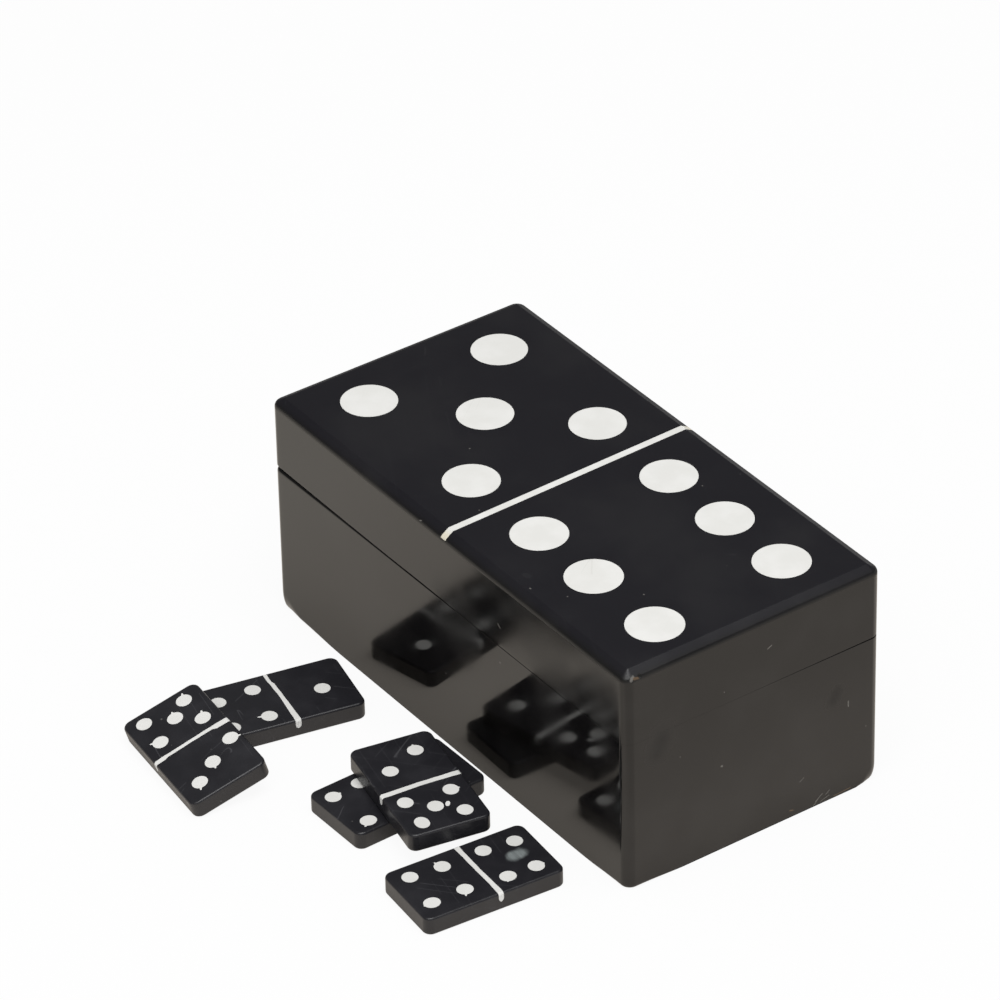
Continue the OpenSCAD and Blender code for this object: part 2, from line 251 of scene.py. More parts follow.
def rim_share(p):
    """The rims at the seam are nearly sharp at the front corner and well rounded at the far ends."""
    along, across = from_front_corner(p)
    share = RIM_SHARP + RIM_LEFT * along ** 3 + RIM_RIGHT * across ** 3 * (1 - along)
    return share, share


def foot_share(p):
    """The foot is rounded at the upright corners, most of all up the wall, and nearly sharp between."""
    at_right_end = p.x > BOX_L / 2 - 1 * mm and p.y < RIGHT_END_TO
    deep, rise = FOOT_RIGHT_END if at_right_end else FOOT_SHARP, 1.0
    for (x, y), reach, most, tall in FOOT_CORNERS:
        far = math.hypot(p.x - x * BOX_L / 2, p.y - y * BOX_W / 2)
        deep = max(deep, most * math.exp(-(far / reach) ** 4))
        rise += tall * math.exp(-(far / min(RISE_REACH, reach)) ** 4)
    return deep, deep * rise


def unevenly_rounded(bm, height, radius, share_at):
    """Gives the rounding at one height its own share of the radius, under and up, at every place."""
    for v in bm.verts:
        deep, way = inward(v.co)
        if max(abs(v.co.z - height), deep) < radius + TOUCH:
            under, up = share_at(v.co)
            v.co.z = height + (v.co.z - height) * up
            v.co += way * deep * (1 - under)


def maths(tree, operation, first, second=0.0, clamp=False):
    """The result of a sum on one or two values."""
    made = node(tree, "ShaderNodeMath", {0: first, 1: second}, operation=operation, use_clamp=clamp)
    return made.outputs[0]


def new_group(name, inputs, outputs):
    """An empty node group with its inputs and outputs."""
    tree = bpy.data.node_groups.new(name, "ShaderNodeTree")
    for label, kind, default in inputs:
        socket = tree.interface.new_socket(name=label, in_out="INPUT", socket_type=kind)
        if default is not None:
            socket.default_value = default
    for label, kind in outputs:
        tree.interface.new_socket(name=label, in_out="OUTPUT", socket_type=kind)
    return tree


def scratch_group():
    """Hairline scratches: thin broken lines where stretched noise crosses its middle value."""
    tree = new_group("hairline_scratches",
                     (("Vector", "NodeSocketVector", None), ("Turn", "NodeSocketFloat", 0.0),
                      ("Scale", "NodeSocketFloat", 60.0), ("Width", "NodeSocketFloat", 0.006),
                      ("Cover", "NodeSocketFloat", 0.5)), (("Mask", "NodeSocketFloat"),))
    given = node(tree, "NodeGroupInput").outputs
    turn = node(tree, "ShaderNodeCombineXYZ", {"Z": given["Turn"]}).outputs[0]
    turned = node(tree, "ShaderNodeMapping", {"Vector": given["Vector"], "Rotation": turn}).outputs[0]
    drawn = node(tree, "ShaderNodeMapping", {"Vector": turned, "Scale": (0.05, 1.6, 1.6)}).outputs[0]
    lines = node(tree, "ShaderNodeTexNoise",
                 {"Vector": drawn, "Scale": given["Scale"], "Detail": 0.0}).outputs[0]
    off = maths(tree, "ABSOLUTE", maths(tree, "SUBTRACT", lines, 0.5))
    line = maths(tree, "SUBTRACT", 1.0, maths(tree, "DIVIDE", off, given["Width"]), clamp=True)
    breaks = node(tree, "ShaderNodeTexNoise", {"Vector": turned, "Scale": 55.0, "Detail": 1.0}).outputs[0]
    keep = maths(tree, "GREATER_THAN", breaks, maths(tree, "SUBTRACT", 1.0, given["Cover"]))
    node(tree, "NodeGroupOutput", {"Mask": maths(tree, "MULTIPLY", line, keep)})
    return tree


def speck_group():
    """Specks of dust: small round spots, sparse and of several sizes."""
    tree = new_group("dust_specks",
                     (("Vector", "NodeSocketVector", None), ("Scale", "NodeSocketFloat", 250.0),
                      ("Size", "NodeSocketFloat", 0.12), ("Share", "NodeSocketFloat", 0.1)),
                     (("Mask", "NodeSocketFloat"),))
    given = node(tree, "NodeGroupInput").outputs
    cells = node(tree, "ShaderNodeTexVoronoi", {"Vector": given["Vector"], "Scale": given["Scale"]})
    lot = node(tree, "ShaderNodeSeparateColor", {0: cells.outputs["Color"]}).outputs
    chosen = maths(tree, "LESS_THAN", lot[0], given["Share"])
    size = maths(tree, "MULTIPLY", given["Size"], maths(tree, "ADD", 0.35, lot[1]))
    inside = maths(tree, "SUBTRACT", 1.0, maths(tree, "DIVIDE", cells.outputs["Distance"], size), clamp=True)
    round_off = maths(tree, "POWER", inside, 0.5)
    node(tree, "NodeGroupOutput", {"Mask": maths(tree, "MULTIPLY", chosen, round_off)})
    return tree


def mark_group():
    """One mark: a line from a place to another, or a spot where the two are the same, with ragged edges."""
    tree = new_group("single_mark",
                     (("Vector", "NodeSocketVector", None), ("Start", "NodeSocketVector", None),
                      ("End", "NodeSocketVector", None), ("Width", "NodeSocketFloat", 0.001),
                      ("Core", "NodeSocketFloat", 0.4), ("Grain", "NodeSocketFloat", 0.5)),
                     (("Mask", "NodeSocketFloat"),))
    given = node(tree, "NodeGroupInput").outputs
    run = node(tree, "ShaderNodeVectorMath", {0: given["End"], 1: given["Start"]},
               operation="SUBTRACT").outputs[0]
    away = node(tree, "ShaderNodeVectorMath", {0: given["Vector"], 1: given["Start"]},
                operation="SUBTRACT").outputs[0]
    reach = node(tree, "ShaderNodeVectorMath", {0: away, 1: run}, operation="DOT_PRODUCT").outputs["Value"]
    whole = node(tree, "ShaderNodeVectorMath", {0: run, 1: run}, operation="DOT_PRODUCT").outputs["Value"]
    share = maths(tree, "DIVIDE", reach, whole, clamp=True)
    foot = node(tree, "ShaderNodeVectorMath", {0: run, "Scale": share}, operation="SCALE").outputs[0]
    off = node(tree, "ShaderNodeVectorMath", {0: away, 1: foot}, operation="DISTANCE").outputs["Value"]
    edge = maths(tree, "MULTIPLY", given["Width"], maths(tree, "ADD", given["Grain"], 0.1))
    core = maths(tree, "MULTIPLY", edge, given["Core"])
    node(tree, "NodeGroupOutput", {"Mask": spread(tree, off, edge, core)})
    return tree


SCRATCHES, SPECKS, MARK = scratch_group(), speck_group(), mark_group()


def scratches(tree, place, turn, scale, width, cover):
    """Scratches that run one way: its turn, their scale, the width of a line and how much of it is kept."""
    given = {"Vector": place, "Turn": turn, "Scale": scale, "Width": width, "Cover": cover}
    return node(tree, "ShaderNodeGroup", given, node_tree=SCRATCHES).outputs[0]


def specks(tree, place, scale, size, share):
    """Dust: its scale, the size of a speck and the share of places that have one."""
    given = {"Vector": place, "Scale": scale, "Size": size, "Share": share}
    return node(tree, "ShaderNodeGroup", given, node_tree=SPECKS).outputs[0]


def highest(tree, *masks):
    """The strongest of several masks."""
    total = masks[0]
    for mask in masks[1:]:
        total = maths(tree, "MAXIMUM", total, mask)
    return total


def marks(tree, place, ragged, rows, core=0.4):
    """All the marks of one kind. A row is a start, an end, both in millimetres, and a width."""
    made = []
    for start, end, width in rows:
        given = {"Vector": place, "Grain": ragged, "Start": [c * mm for c in start],
                 "End": [c * mm for c in end], "Width": width * mm, "Core": core}
        made.append(node(tree, "ShaderNodeGroup", given, node_tree=MARK).outputs[0])
    return highest(tree, *made)


# What years of use have left on the right end, the front and the top: bare spots and nicks, brown
# ones where the board shows, and places that have lost their polish
PALE_MARKS = [
    ((80, 4.1, 57.4), (80, 5.3, 58.0), 0.4), ((80, 30.5, 29.3), (80, 30.5, 27.6), 0.4),
    ((80, -10.7, 26.7), (80, -10.5, 26.6), 0.6), ((80, -9.8, 49.8), (80, -9.8, 49.8), 0.45),
    ((80, -23.9, 35.6), (80, -23.9, 35.6), 0.45), ((80, 36.4, 18.7), (80, 36.4, 18.7), 0.4),
    ((24.5, -41, 53.0), (25.4, -41, 52.2), 0.4), ((-27.5, -12.7, 68), (-27.5, -12.7, 68), 0.5),
    ((-2.6, -27.3, 68), (-2.6, -27.3, 68), 0.5), ((34.0, -37.3, 68), (34.3, -37.3, 68), 0.6),
    ((42.7, -31.8, 68), (42.7, -31.8, 68), 0.4), ((53.7, -15.7, 68), (53.7, -15.7, 68), 0.5),
    ((23.4, 25.8, 68), (23.4, 25.8, 68), 0.45), ((79.3, -37.9, 66.8), (79.8, -39.0, 65.9), 0.9),
    ((-10.3, -40.8, 66.1), (-9.9, -40.8, 66.3), 0.5), ((80, 14.8, 10.2), (80, 16.1, 11.0), 0.25),
    ((80, 19.2, 0.2), (80, 20.8, 1.9), 0.3), ((80, 20.0, 1.5), (80, 22.3, 3.1), 0.25),
    ((80, 21.7, 0.8), (80, 24.5, 1.6), 0.25), ((80, 23.4, 2.3), (80, 24.6, 3.2), 0.25),
]
TAN_MARKS = [
    ((80, 26.0, 0.6), (80, 31.5, 0.9), 0.3), ((80, 11.6, 2.3), (80, 12.6, 2.0), 0.5),
    ((79.7, -37.9, 66.2), (79.8, -36.8, 66.0), 0.9),
]
DULL_PATCHES = [
    ((80, -31.0, 39.5), (80, -29.5, 43.5), 14), ((80, 25.6, 31.8), (80, 26.8, 34.0), 9),
    ((28.4, -34.8, 68), (29.4, -34.5, 68), 2),
]
CHAMFER_DROP = 2.1 * mm
ARRIS_Z = BOX_H - CHAMFER_DROP

black_resin, tree, shader, place = new_material("black_resin")
shader.inputs["IOR"].default_value = 1.5
height = node(tree, "ShaderNodeSeparateXYZ", {0: place}).outputs[2]
on_top = spread(tree, height, ARRIS_Z, BOX_H - 0.5 * mm)
on_arris = spread(tree, height, ARRIS_Z - 1.3 * mm, ARRIS_Z - 0.1 * mm)
haze = node(tree, "ShaderNodeTexNoise", {"Vector": place, "Scale": 38.0, "Detail": 5.0}).outputs[0]
grain = node(tree, "ShaderNodeTexNoise", {"Vector": place, "Scale": 900.0, "Detail": 3.0}).outputs[0]
rubs = highest(tree, scratches(tree, place, 0.5, 55, 0.003, 0.42),
               scratches(tree, place, 2.3, 70, 0.0025, 0.4), scratches(tree, place, 1.4, 45, 0.003, 0.36))
rubs = maths(tree, "MULTIPLY", rubs, spread(tree, on_top, 0, 1, 0.15, 1))
dust = highest(tree, specks(tree, place, 90, 0.03, 0.08), specks(tree, place, 320, 0.09, 0.03))
pale, tan = marks(tree, place, grain, PALE_MARKS), marks(tree, place, grain, TAN_MARKS)
dull = marks(tree, place, haze, DULL_PATCHES, core=0.0)
# The top is painted lighter and bluer than the sides: a painted reflection of the ceiling on the satin top
colour = blended(tree, on_top, (0.0035, 0.0031, 0.0029), (0.0070, 0.0064, 0.0098))
clouding = maths(tree, "MULTIPLY", spread(tree, haze, 0.42, 0.72, 0.0, 0.3),
                 spread(tree, on_top, 0, 1, 1, 0.5))
colour = blended(tree, clouding, colour, (0.024, 0.023, 0.022))
colour = blended(tree, maths(tree, "MULTIPLY", rubs, 0.06), colour, (0.10, 0.10, 0.10))
colour = blended(tree, maths(tree, "MULTIPLY", dust, 0.35), colour, (0.30, 0.29, 0.27))
colour = blended(tree, maths(tree, "MULTIPLY", pale, 0.75), colour, (0.17, 0.16, 0.145))
colour = blended(tree, maths(tree, "MULTIPLY", tan, 0.75), colour, (0.13, 0.080, 0.042))
tree.links.new(colour, shader.inputs["Base Color"])
on_wall = spread(tree, height, BASE_H, BASE_H + 2 * mm, 0.09, 0.17)
polish = maths(tree, "ADD", spread(tree, on_arris, 0, 1, on_wall, 0.42),
               spread(tree, haze, 0.35, 0.7, -0.05, 0.08))
polish = maths(tree, "ADD", polish, maths(tree, "MULTIPLY", highest(tree, rubs, dust), 0.12))
polish = maths(tree, "ADD", polish, maths(tree, "MULTIPLY", highest(tree, pale, tan), 0.22))
polish = maths(tree, "ADD", polish, maths(tree, "MULTIPLY", dull, 0.45))
tree.links.new(polish, shader.inputs["Roughness"])
worn = maths(tree, "ADD", maths(tree, "MULTIPLY", rubs, 0.10), highest(tree, pale, tan))
relief = maths(tree, "SUBTRACT", maths(tree, "MULTIPLY", grain, 0.02), worn)
bump = node(tree, "ShaderNodeBump", {"Height": relief, "Strength": 0.35, "Distance": 0.00005})
tree.links.new(bump.outputs[0], shader.inputs["Normal"])

base_ring = shell(0, BASE_H, FOOT_R, RIM_R)
unevenly_rounded(base_ring, BASE_H, RIM_R, rim_share)
unevenly_rounded(base_ring, 0, FOOT_R, foot_share)
finished("base_cladding", base_ring, black_resin, "box", [f"base_{side}_cladding" for side in SIDES])


# ---- Cladding of the lid
# The same panels, cut lower. The lid's edge at the seam has bowed a little over the years: it
# touches the lower box near the front corner and stands off it towards the far ends.

SHEET_Z = BOX_H - 3 * mm
LID_RIM_R = 0.4 * mm

# How far the edge stands off, at the far left corner, along the front, at one spot on the front and
# at the far right corner, and where that spot and the right part lie as shares of their sides. The
# bend fades out BOW_REACH above the edge
BOW_FAR_LEFT, BOW_FRONT, BOW_SPOT, BOW_FAR_RIGHT = 0.55 * mm, 0.21 * mm, 0.18 * mm, 0.22 * mm
SPOT_AT, SPOT_REACH, RIGHT_FROM = 0.56, 0.07, 0.4
BOW_REACH = 9 * mm


def bow(p):
    """How far the edge stands off the lower box at a place."""
    along, across = from_front_corner(p)
    left = BOW_FAR_LEFT * along ** 3 + BOW_FRONT * min(1.0, 5 * along) * (1 - 0.6 * along)
    left += BOW_SPOT * math.exp(-((along - SPOT_AT) / SPOT_REACH) ** 2)
    right = BOW_FAR_RIGHT * max(0.0, (across - RIGHT_FROM) / (1 - RIGHT_FROM)) ** 1.5
    return math.hypot(left, right)


lid_ring = shell(BASE_H, SHEET_Z, LID_RIM_R, 0)
unevenly_rounded(lid_ring, BASE_H, LID_RIM_R, rim_share)
for v in lid_ring.verts:
    v.co.z += max(0.0, 1 - (v.co.z - BASE_H) / BOW_REACH) * bow(v.co)
finished("lid_cladding", lid_ring, black_resin, "lid", [f"lid_{side}_cladding" for side in SIDES])


# ---- Lid sheet
# A thick sheet of black resin covers the lid. Its top edge is chamfered all round, and it is milled
# with a pocket for each pip and a groove across for the dividing bar. The chamfer is a little
# shallower at the back, the groove runs slightly askew and the front corner is chipped.

# The middles of the pips on either half, in millimetres
FIVE = [(-62.4, -20.9), (-61.8, 21.3), (-15.1, -21.0), (-16.9, 21.3), (-38.7, 0.2)]
SIX = [(15.4, -21.0), (14.4, 21.6), (39.4, -21.1), (38.8, 21.5), (65.8, -21.2), (63.0, 21.5)]
LID_PIPS = FIVE + SIX

PIP_D, PIP_T = 15.7 * mm, 2 * mm
BAR_W, BAR_X, BAR_TURN = 2.2 * mm, -0.72 * mm, math.radians(1.22)
GROOVE_T, GROOVE_PAST = 2 * mm, 2 * mm
CHAMFER_RUN, CHAMFER_LOST = 2.7 * mm, 0.45 * mm
ARRIS_R, TOP_EDGE_R, SHEET_STEPS = 0.8 * mm, 0.2 * mm, 6
CHIP_AT, CHIP_R, CHIP_ROUGH = Vector((80.1, -36.2, 66.7)) * mm, 1 * mm, 0.25
ROUND_STEPS = 96


def sheet_blank():
    """The sheet before it is milled, with the two edges of its chamfer eased."""
    bm = rounded_plate(BOX_L, BOX_W, CORNER_R, SHEET_Z)
    raised(bm, bm.faces[:], BOX_H - SHEET_Z)
    top = max(bm.faces, key=lambda f: f.calc_center_median().z)
    bmesh.ops.inset_region(bm, faces=[top], thickness=CHAMFER_RUN, use_even_offset=True, use_boundary=True)
    rim = [v for v in bm.verts if v.co.z > BOX_H - TOUCH and v not in top.verts]
    bmesh.ops.translate(bm, vec=(0, 0, -CHAMFER_DROP), verts=rim)
    for height, radius in ((ARRIS_Z, ARRIS_R), (BOX_H, TOP_EDGE_R)):
        edges = [e for e in bm.edges if all(abs(v.co.z - height) < TOUCH for v in e.verts)]
        eased(bm, edges, radius, SHEET_STEPS)
    # Only the chamfer's lower edge lies between these heights
    for v in bm.verts:
        if SHEET_Z + 0.05 * mm < v.co.z < BOX_H - 0.5 * mm:
            v.co.z += CHAMFER_LOST * max(from_front_corner(v.co)) ** 3
    return bm


def cutter(bm, name):
    """A shape that is used once to mill another and then thrown away."""
    bmesh.ops.recalc_face_normals(bm, faces=bm.faces)
    mesh = bpy.data.meshes.new(name)
    bm.to_mesh(mesh)
    bm.free()
    tool = bpy.data.objects.new(name, mesh)
    bpy.context.scene.collection.objects.link(tool)
    return tool


def milled(bm, tools, operation="DIFFERENCE"):
    """The bmesh with the tools' shapes taken out of it, or with nothing left but what they share."""
    work = cutter(bm, "work")
    for tool in tools:
        cut = work.modifiers.new(tool.name, "BOOLEAN")
        cut.operation, cut.solver, cut.object = operation, "EXACT", tool
    mesh = bpy.data.meshes.new_from_object(work.evaluated_get(bpy.context.evaluated_depsgraph_get()))
    out = bmesh.new()
    out.from_mesh(mesh)
    for thing in (work, *tools):
        bpy.data.objects.remove(thing)
    bpy.data.meshes.remove(mesh)
    return out


pockets = bmesh.new()
for x, y in LID_PIPS:
    disc = bmesh.ops.create_cone(pockets, cap_ends=True, segments=ROUND_STEPS, depth=2 * PIP_T,
                                 radius1=PIP_D / 2, radius2=PIP_D / 2)
    bmesh.ops.translate(pockets, vec=(x * mm, y * mm, BOX_H), verts=disc["verts"])
groove = bmesh.new()
bmesh.ops.create_cube(groove, size=1)
bmesh.ops.scale(groove, vec=(BAR_W, BOX_W + 2 * GROOVE_PAST, 2 * GROOVE_T), verts=groove.verts)
bmesh.ops.rotate(groove, matrix=Matrix.Rotation(BAR_TURN, 3, "Z"), verts=groove.verts)
bmesh.ops.translate(groove, vec=(BAR_X, 0, BOX_H), verts=groove.verts)
chip = bmesh.new()
bmesh.ops.create_icosphere(chip, subdivisions=3, radius=1)
for v in chip.verts:
    v.co *= 1 + CHIP_ROUGH * noise.noise(v.co * 1.7)
    v.co = v.co * CHIP_R + CHIP_AT
sheet = milled(sheet_blank(), [cutter(pockets, "pockets"), cutter(groove, "groove"), cutter(chip, "chip")])
finished("lid_sheet_top", sheet, black_resin, "lid", ["lid_sheet"])


# ---- Pips of the lid
# Eleven discs of off-white resin, set into their pockets by hand and sanded with the sheet until
# they lie all but flush. A hair of dark glue line is left round each one.

PIP_GLUE, PIP_SUNK, PIP_EDGE_R = 0.05 * mm, 0.06 * mm, 0.12 * mm

white_resin, tree, shader, place = new_material("white_resin")
shader.inputs["IOR"].default_value = 1.48
clouds = node(tree, "ShaderNodeTexNoise", {"Vector": place, "Scale": 130.0, "Detail": 4.0}).outputs[0]
colour = blended(tree, spread(tree, clouds, 0.35, 0.7), (0.777, 0.772, 0.742), (0.817, 0.812, 0.787))
fine_lines = maths(tree, "MULTIPLY", scratches(tree, place, 0.9, 80, 0.003, 0.38), 0.5)
grime = highest(tree, specks(tree, place, 420, 0.10, 0.02), fine_lines)
colour = blended(tree, maths(tree, "MULTIPLY", grime, 0.35), colour, (0.45, 0.43, 0.38))
tree.links.new(colour, shader.inputs["Base Color"])
tree.links.new(spread(tree, clouds, 0.3, 0.75, 0.36, 0.46), shader.inputs["Roughness"])
bump = node(tree, "ShaderNodeBump", {"Height": clouds, "Strength": 0.2, "Distance": 0.00003})
tree.links.new(bump.outputs[0], shader.inputs["Normal"])

for number, (x, y) in enumerate(LID_PIPS, 1):
    pip = bmesh.new()
    radius = PIP_D / 2 - PIP_GLUE
    bmesh.ops.create_cone(pip, cap_ends=True, segments=ROUND_STEPS, radius1=radius, radius2=radius,
                          depth=PIP_T - PIP_SUNK)
    bmesh.ops.translate(pip, vec=(x * mm, y * mm, BOX_H - PIP_T / 2 - PIP_SUNK / 2), verts=pip.verts)
    eased(pip, level_edges(pip, max(v.co.z for v in pip.verts)), PIP_EDGE_R, 2)
    finished(f"pip_{number}", pip, white_resin, "lid", [f"lid_pip_{number}"])


# ---- Dividing bar
# A strip of the same white resin lies in the groove and turns down over the chamfer at both ends,
# where its cut ends are rounded and have yellowed.

BAR_GLUE, BAR_T = 0.05 * mm, 2.2 * mm
AGED_FROM, AGED_TO = 3.2 * mm, 0.8 * mm

bar_resin, tree, shader, place = new_material("bar_resin")
shader.inputs["IOR"].default_value = 1.48
across = node(tree, "ShaderNodeSeparateXYZ", {0: place}).outputs[1]
end = spread(tree, maths(tree, "ABSOLUTE", across), BOX_W / 2 - AGED_FROM, BOX_W / 2 - AGED_TO)
clouds = node(tree, "ShaderNodeTexNoise", {"Vector": place, "Scale": 160.0, "Detail": 4.0}).outputs[0]
colour = blended(tree, spread(tree, clouds, 0.35, 0.7), (0.77, 0.765, 0.73), (0.83, 0.825, 0.80))
aged = maths(tree, "MULTIPLY", end, spread(tree, clouds, 0.3, 0.6, 0.6, 1.0))
colour = blended(tree, aged, colour, (0.72, 0.67, 0.54))
tree.links.new(colour, shader.inputs["Base Color"])
tree.links.new(spread(tree, clouds, 0.3, 0.75, 0.36, 0.46), shader.inputs["Roughness"])

bar = sheet_blank()
out = Matrix.Rotation(BAR_TURN, 3, "Z") @ Vector((BAR_W / 2 - BAR_GLUE, 0, 0))
middle = Vector((BAR_X, 0, 0))
for spot, way in ((middle + out, out), (middle - out, -out), ((0, 0, BOX_H - BAR_T), (0, 0, -1))):
    cut = bmesh.ops.bisect_plane(bar, geom=bar.verts[:] + bar.edges[:] + bar.faces[:],
                                 plane_co=spot, plane_no=way, clear_outer=True)
    bmesh.ops.holes_fill(bar, edges=[e for e in cut["geom_cut"] if isinstance(e, bmesh.types.BMEdge)])
finished("dividing_bar", bar, bar_resin, "lid", ["lid_bar"])


# ---- Stored dominoes
# The rest of the double-six set lies in three layers in the lower box. Each tile is moulded in
# black resin and drilled, and its pips and bar are filled with white resin.

LAYERS = ("bottom", "middle", "top")
CLOUDY_PATCH = [((55.4, -59.3, 5.3), (55.8, -57.7, 5.3), 5.4)]


def tile_material(name, clouded=False):
    """Black resin of the tiles, less polished than the box. One loose tile has a cloudy patch."""
    material, tree, shader, place = new_material(name)
    shader.inputs["IOR"].default_value = 1.5
    haze = node(tree, "ShaderNodeTexNoise", {"Vector": place, "Scale": 90.0, "Detail": 5.0}).outputs[0]
    grain = node(tree, "ShaderNodeTexNoise", {"Vector": place, "Scale": 1500.0, "Detail": 3.0}).outputs[0]
    rubs = highest(tree, scratches(tree, place, 0.2, 120, 0.005, 0.48),
                   scratches(tree, place, 1.1, 150, 0.005, 0.46),
                   scratches(tree, place, 2.4, 100, 0.005, 0.44))
    dust = highest(tree, specks(tree, place, 260, 0.08, 0.05), specks(tree, place, 700, 0.10, 0.03))
    colour = blended(tree, spread(tree, haze, 0.4, 0.8), (0.0155, 0.0152, 0.0185), (0.0255, 0.0250, 0.0295))
    colour = blended(tree, maths(tree, "MULTIPLY", rubs, 0.4), colour, (0.12, 0.12, 0.13))
    colour = blended(tree, maths(tree, "MULTIPLY", dust, 0.5), colour, (0.30, 0.29, 0.27))
    if clouded:
        drawn = node(tree, "ShaderNodeMapping", {0: place, 2: (0, 0, 1.2), 3: (300, 1400, 300)}).outputs[0]
        streaks = node(tree, "ShaderNodeTexNoise", {"Vector": drawn, "Scale": 1.0, "Detail": 3.0}).outputs[0]
        cloud = marks(tree, place, haze, CLOUDY_PATCH)
        cloud = maths(tree, "MULTIPLY", cloud, spread(tree, streaks, 0.25, 0.65, 0.6, 1.0))
        colour = blended(tree, cloud, colour, (0.225, 0.250, 0.250))
    tree.links.new(colour, shader.inputs["Base Color"])
    rougher = maths(tree, "MULTIPLY", highest(tree, rubs, dust), 0.15)
    polish = maths(tree, "ADD", spread(tree, haze, 0.3, 0.8, 0.28, 0.38), rougher)
    tree.links.new(polish, shader.inputs["Roughness"])
    relief = maths(tree, "SUBTRACT", maths(tree, "MULTIPLY", grain, 0.03),
                   maths(tree, "MULTIPLY", rubs, 0.3))
    bump = node(tree, "ShaderNodeBump", {"Height": relief, "Strength": 0.4, "Distance": 0.00004})
    tree.links.new(bump.outputs[0], shader.inputs["Normal"])
    return material


tile_resin = tile_material("tile_resin")
dress(tile_resin, *[f"stored_tiles_{layer}" for layer in LAYERS])
dress(white_resin, *[f"stored_inlays_{layer}" for layer in LAYERS])


# ---- Loose dominoes
# Five black resin tiles lie in front of the box, one leaning on its neighbour's end and one across
# another. Their holes were drilled by eye and filled by hand, so they stray from their rows and many
# have a tail, and the bars waver on their way across and fold down over the rubbed long edges.

TILE_L, TILE_W, TILE_T, TILE_R, TILE_EDGE = 41.4 * mm, 23.2 * mm, 5.3 * mm, 2.4 * mm, 0.7 * mm
DOT_R, DOT_T, DOT_PROUD, DOT_WANDER = 2.2 * mm, 0.9 * mm, 0.01 * mm, 0.02
LINE_T, LINE_FOLD, LINE_PAST = 0.6 * mm, 2.6 * mm, 0.5 * mm
LINE_RUN_OUT, LINE_WAVER, WIDTH_WAVER = 2.2, 0.06, 0.05
SEAT, DRILL_PAST = 0.03 * mm, 1 * mm
DOT_STEPS, FOLD_STEPS, LINE_STEPS = 120, 8, 20
TAIL_SPREAD = 6.5

# The middle of each tile in millimetres, along the box and out from its front, and its turn in
# degrees. For the leaning one, it is the middle of its lower edge
LOOSE = {
    "five_three": ((-32.6, 69.2), -6.2),
    "four_one": ((-38.1, 28.1), 77.5),
    "four_blank": ((12.8, 25), 91.2),
    "two_five": ((21.2, 23.6), -11.3),
    "four_four": ((54.9, 30.3), 85),
}

# Each hole on its tile: along and across in millimetres, how oval it is, and its tails, each as a
# direction in degrees and a reach
DOTS = {
    "five_three": [
        (-16.2, 5.8, 0, (162, 0.8)), (-6.5, 6.5, 0, (160, 0.75)), (-12.0, 0.8, 0, (171, 0.6)),
        (-16.3, -6.6, 0), (-6.9, -6.5, 0, (-118, 0.7)), (5.8, 8.4, 0, (70, 0.7)),
        (10.1, 0.6, 0.02, (-12, 0.6)), (14.3, -5.7, 0, (-22, 0.8))],
    "four_one": [
        (-15.6, 4.5, 0, (130, 0.4)), (-5.2, 6.0, 0), (-16.1, -7.6, 0), (-5.3, -6.7, 0, (166, 1.0)),
        (12.1, -0.9, 0)],
    "four_blank": [
        (-16.2, 6.2, 0.02, (5, 0.35)), (-7.3, 6.9, 0), (-14.9, -7.7, 0.05, (-143, 0.6)), (-6.8, -7.9, 0)],
    "two_five": [
        (-13.4, 4.6, 0, (175, 0.35)), (-7.7, -5.0, 0), (6.2, 6.1, 0.03, (87, 0.4)), (15.8, 5.9, 0.02),
        (11.1, -0.4, 0.02), (6.4, -6.9, 0.03), (16.1, -6.4, 0.11)],
    "four_four": [
        (-15.2, 6.6, 0), (-5.9, 6.1, 0, (112, 0.5)), (-15.7, -5.6, 0.05, (-176, 0.2)),
        (-5.7, -5.2, 0.02, (-115, 0.65)), (6.4, 6.3, 0), (15.4, 5.6, 0), (6.4, -6.3, 0.04, (-120, 0.25)),
        (14.8, -6.4, 0, (0, 0.2))],
}

# A drop of resin that was spilt beside a hole: its middle, its half axes and its turn
SPILT_AT, SPILT_R, SPILT_TURN = (11.5, 2.9), (1.104, 0.622), math.radians(-29.9)

# The course of each bar: places across the tile, with the bar's middle and its width there
BARS = {
    "five_three": [(11.6, -1.0, 1.9), (7.2, -1.05, 1.9), (6.5, -1.35, 1.25), (0, -1.25, 1.15),
                   (-7.5, -1.0, 1.15), (-8.5, -0.87, 1.65), (-11.6, -0.65, 1.4)],
    "four_one": [(11.6, 0.2, 1.1), (7.4, 0.28, 1.0), (6.8, 0.55, 1.3), (0, 0.9, 1.2), (-8, 1.0, 1.6),
                 (-11.6, 1.05, 1.7)],
    "four_blank": [(11.6, 0, 1.5), (-11.6, 0.2, 1.5)],
    "two_five": [(11.6, 0.25, 1.9), (5, 0.4, 1.65), (0, 0.53, 1.65), (-5, 0.94, 1.7), (-9, 1.3, 1.8),
                 (-11.6, 1.35, 1.7)],
    "four_four": [(11.6, 1.2, 1.7), (9, 1.22, 1.45), (0, 1.2, 1.35), (-7, 1.4, 1.4), (-9.5, 1.35, 1.65),
                  (-11.6, 1.3, 1.55)],
}


def tile_at(name):
    """The middle of a tile on the table, and its turn."""
    (along, out), turn = LOOSE[name]
    return Vector((along * mm, -BOX_W / 2 - out * mm)), math.radians(turn)


def tile_lean():
    """Tilt of the leaning tile, from the rounded corner of the tile that it rests on."""
    (at, turn), (foot, own) = tile_at("four_one"), tile_at("five_three")
    corner = Vector((TILE_R - TILE_L / 2, TILE_R - TILE_W / 2)) @ Matrix.Rotation(-turn, 2)
    across = (at + corner - foot) @ Matrix.Rotation(own, 2)
    return math.atan2(TILE_T, across.y - TILE_R)


